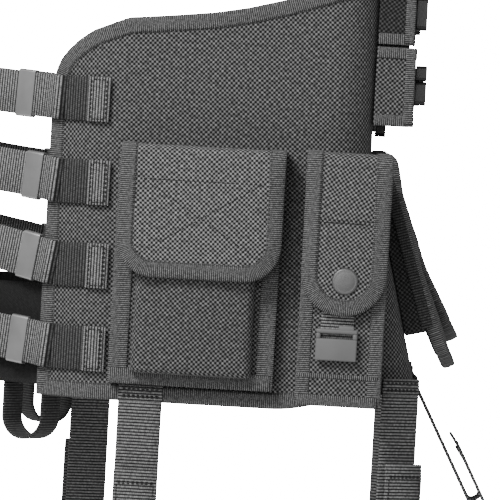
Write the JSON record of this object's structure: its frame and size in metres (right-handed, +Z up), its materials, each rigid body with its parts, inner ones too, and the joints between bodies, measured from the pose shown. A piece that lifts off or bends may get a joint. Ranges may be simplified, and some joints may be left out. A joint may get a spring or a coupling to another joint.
{
  "type": "load-carrying vest",
  "caption": "Black padded load-carrying vest with flap pouches, webbing side straps with sliding metal keepers, buckles and hanging belt loops.",
  "frame": {"origin": "where the shoulder pads rest on the shoulders, on the vest's centre line", "axes": "+Z up, -Y the way the wearer faces, -X to the wearer's right"},
  "size_m": [0.4174, 0.4411, 0.5867],
  "materials": {
    "padded_fabric": "matte plain weave",
    "binding_tape": "ribbed tape",
    "webbing": "ribbed webbing",
    "pouch_fabric": "matte plain weave",
    "elastic": "smooth elastic",
    "satin_metal": "satin",
    "grey_plastic": "satin moulded",
    "black_plastic": "moulded"
  },
  "bodies": {
    "vest": {"back_binding": "binding_tape", "back_panel": "padded_fabric", "belt_loop_ends": "webbing", "buckle_sockets": "black_plastic", "clip_tabs": "grey_plastic", "clip_webbings": "webbing", "closure_straps": "webbing", "drag_handle": "webbing", "hanger_loops": "webbing", "left_front_binding": "binding_tape", "left_front_panel": "padded_fabric", "left_lower_chest_pouch": "pouch_fabric", "left_magazine_pouch": "pouch_fabric", "left_radio_pouch": "pouch_fabric", "left_shoulder_pad": "padded_fabric", "left_upper_chest_pouch": "pouch_fabric", "left_utility_pouch": "pouch_fabric", "right_front_binding": "binding_tape", "right_front_panel": "padded_fabric", "right_lower_chest_pouch": "pouch_fabric", "right_magazine_pouch": "pouch_fabric", "right_radio_pouch": "pouch_fabric", "right_shoulder_pad": "padded_fabric", "right_upper_chest_pouch": "pouch_fabric", "right_utility_pouch": "pouch_fabric", "shoulder_straps": "webbing", "side_straps": "webbing", "side_tabs": "webbing", "snap_studs": "satin_metal", "waist_gussets": "elastic"},
    "right_utility_flap": {"right_utility_flap": "pouch_fabric"},
    "right_radio_flap": {"right_radio_flap": "pouch_fabric", "right_snap_cap": "satin_metal"},
    "right_inner_magazine_flap": {"right_inner_magazine_flap": "pouch_fabric"},
    "right_outer_magazine_flap": {"right_outer_magazine_flap": "pouch_fabric"},
    "right_strap_keeper_1": {"right_strap_keeper_1": "satin_metal"},
    "right_strap_keeper_2": {"right_strap_keeper_2": "satin_metal"},
    "right_strap_keeper_3": {"right_strap_keeper_3": "satin_metal"},
    "right_strap_keeper_4": {"right_strap_keeper_4": "satin_metal"},
    "right_lower_chest_plug": {"right_lower_chest_plug": "black_plastic"},
    "right_upper_chest_plug": {"right_upper_chest_plug": "black_plastic"},
    "right_front_belt_loop": {"right_front_belt_loop": "webbing"},
    "right_corner_belt_loop": {"right_corner_belt_loop": "webbing"},
    "right_side_belt_loop": {"right_side_belt_loop": "webbing"},
    "left_utility_flap": {"left_utility_flap": "pouch_fabric"},
    "left_radio_flap": {"left_radio_flap": "pouch_fabric", "left_snap_cap": "satin_metal"},
    "left_inner_magazine_flap": {"left_inner_magazine_flap": "pouch_fabric"},
    "left_outer_magazine_flap": {"left_outer_magazine_flap": "pouch_fabric"},
    "left_strap_keeper_1": {"left_strap_keeper_1": "satin_metal"},
    "left_strap_keeper_2": {"left_strap_keeper_2": "satin_metal"},
    "left_strap_keeper_3": {"left_strap_keeper_3": "satin_metal"},
    "left_strap_keeper_4": {"left_strap_keeper_4": "satin_metal"},
    "left_lower_chest_plug": {"left_lower_chest_plug": "black_plastic"},
    "left_upper_chest_plug": {"left_upper_chest_plug": "black_plastic"},
    "left_front_belt_loop": {"left_front_belt_loop": "webbing"},
    "left_corner_belt_loop": {"left_corner_belt_loop": "webbing"},
    "left_side_belt_loop": {"left_side_belt_loop": "webbing"},
    "lower_closure_plug": {"lower_closure_plug": "black_plastic"},
    "upper_closure_plug": {"upper_closure_plug": "black_plastic"}
  },
  "joints": [
    {"name": "right_utility_flap_hinge", "type": "hinge", "parent": "vest", "child": "right_utility_flap", "pos_m": [-0.16775, -0.037, -0.28475], "axis": [0, 1, 0], "range_deg": [0, 85]},
    {"name": "right_radio_flap_hinge", "type": "hinge", "parent": "vest", "child": "right_radio_flap", "pos_m": [-0.16895, -0.144, -0.28325], "axis": [0, 1, 0], "range_deg": [0, 85]},
    {"name": "right_inner_magazine_flap_hinge", "type": "hinge", "parent": "vest", "child": "right_inner_magazine_flap", "pos_m": [-0.055, -0.16258, -0.28597], "axis": [-1, 0, 0], "range_deg": [0, 55]},
    {"name": "right_outer_magazine_flap_hinge", "type": "hinge", "parent": "vest", "child": "right_outer_magazine_flap", "pos_m": [-0.115, -0.16258, -0.28597], "axis": [-1, 0, 0], "range_deg": [0, 80]},
    {"name": "right_strap_keeper_1_slide", "type": "slide", "parent": "vest", "child": "right_strap_keeper_1", "axis": [0.527, 0.8434, 0.1045], "range_m": [-0.005, 0.025]},
    {"name": "right_strap_keeper_2_slide", "type": "slide", "parent": "vest", "child": "right_strap_keeper_2", "axis": [0.5219, 0.8352, 0.1736], "range_m": [0, 0.028]},
    {"name": "right_strap_keeper_3_slide", "type": "slide", "parent": "vest", "child": "right_strap_keeper_3", "axis": [0.527, 0.8434, 0.1045], "range_m": [0, 0.028]},
    {"name": "right_strap_keeper_4_slide", "type": "slide", "parent": "vest", "child": "right_strap_keeper_4", "axis": [0.5292, 0.8469, 0.0523], "range_m": [-0.009, 0.022]},
    {"name": "right_lower_chest_plug_release", "type": "slide", "parent": "vest", "child": "right_lower_chest_plug", "axis": [0, 0, 1], "range_m": [0, 0.02]},
    {"name": "right_upper_chest_plug_release", "type": "slide", "parent": "vest", "child": "right_upper_chest_plug", "axis": [0, 0, 1], "range_m": [0, 0.022]},
    {"name": "right_front_belt_loop_swing", "type": "hinge", "parent": "vest", "child": "right_front_belt_loop", "pos_m": [-0.092, -0.20535, -0.4561], "axis": [-1, 0, 0], "range_deg": [-25, 30], "stiffness_Nm_per_rad": 0.06},
    {"name": "right_corner_belt_loop_swing", "type": "hinge", "parent": "vest", "child": "right_corner_belt_loop", "pos_m": [-0.16178, -0.19029, -0.4572], "axis": [-0.5592, 0.829, 0], "range_deg": [-15, 30]},
    {"name": "right_side_belt_loop_swing", "type": "hinge", "parent": "vest", "child": "right_side_belt_loop", "pos_m": [-0.1671, -0.0014, -0.4722], "axis": [0, 1, 0], "range_deg": [-15, 30]},
    {"name": "left_utility_flap_hinge", "type": "hinge", "parent": "vest", "child": "left_utility_flap", "pos_m": [0.16775, -0.037, -0.28475], "axis": [0, -1, 0], "range_deg": [0, 85]},
    {"name": "left_radio_flap_hinge", "type": "hinge", "parent": "vest", "child": "left_radio_flap", "pos_m": [0.16895, -0.144, -0.28325], "axis": [0, -1, 0], "range_deg": [0, 85]},
    {"name": "left_inner_magazine_flap_hinge", "type": "hinge", "parent": "vest", "child": "left_inner_magazine_flap", "pos_m": [0.055, -0.16258, -0.28597], "axis": [-1, 0, 0], "range_deg": [0, 55]},
    {"name": "left_outer_magazine_flap_hinge", "type": "hinge", "parent": "vest", "child": "left_outer_magazine_flap", "pos_m": [0.115, -0.16258, -0.28597], "axis": [-1, 0, 0], "range_deg": [0, 80]},
    {"name": "left_strap_keeper_1_slide", "type": "slide", "parent": "vest", "child": "left_strap_keeper_1", "axis": [-0.527, 0.8434, 0.1045], "range_m": [-0.005, 0.025]},
    {"name": "left_strap_keeper_2_slide", "type": "slide", "parent": "vest", "child": "left_strap_keeper_2", "axis": [-0.5219, 0.8352, 0.1736], "range_m": [0, 0.028]},
    {"name": "left_strap_keeper_3_slide", "type": "slide", "parent": "vest", "child": "left_strap_keeper_3", "axis": [-0.527, 0.8434, 0.1045], "range_m": [0, 0.028]},
    {"name": "left_strap_keeper_4_slide", "type": "slide", "parent": "vest", "child": "left_strap_keeper_4", "axis": [-0.5292, 0.8469, 0.0523], "range_m": [-0.009, 0.022]},
    {"name": "left_lower_chest_plug_release", "type": "slide", "parent": "vest", "child": "left_lower_chest_plug", "axis": [0, 0, 1], "range_m": [0, 0.02]},
    {"name": "left_upper_chest_plug_release", "type": "slide", "parent": "vest", "child": "left_upper_chest_plug", "axis": [0, 0, 1], "range_m": [0, 0.022]},
    {"name": "left_front_belt_loop_swing", "type": "hinge", "parent": "vest", "child": "left_front_belt_loop", "pos_m": [0.092, -0.20535, -0.4561], "axis": [-1, 0, 0], "range_deg": [-25, 30], "stiffness_Nm_per_rad": 0.06},
    {"name": "left_corner_belt_loop_swing", "type": "hinge", "parent": "vest", "child": "left_corner_belt_loop", "pos_m": [0.16178, -0.19029, -0.4572], "axis": [-0.5592, -0.829, 0], "range_deg": [-15, 30]},
    {"name": "left_side_belt_loop_swing", "type": "hinge", "parent": "vest", "child": "left_side_belt_loop", "pos_m": [0.16132, 0.04586, -0.4722], "axis": [0.3742, -0.9273, 0], "range_deg": [-15, 30]},
    {"name": "lower_closure_plug_release", "type": "slide", "parent": "vest", "child": "lower_closure_plug", "axis": [1, 0, 0], "range_m": [0, 0.025]},
    {"name": "upper_closure_plug_release", "type": "slide", "parent": "vest", "child": "upper_closure_plug", "axis": [1, 0, 0], "range_m": [0, 0.025]}
  ]
}
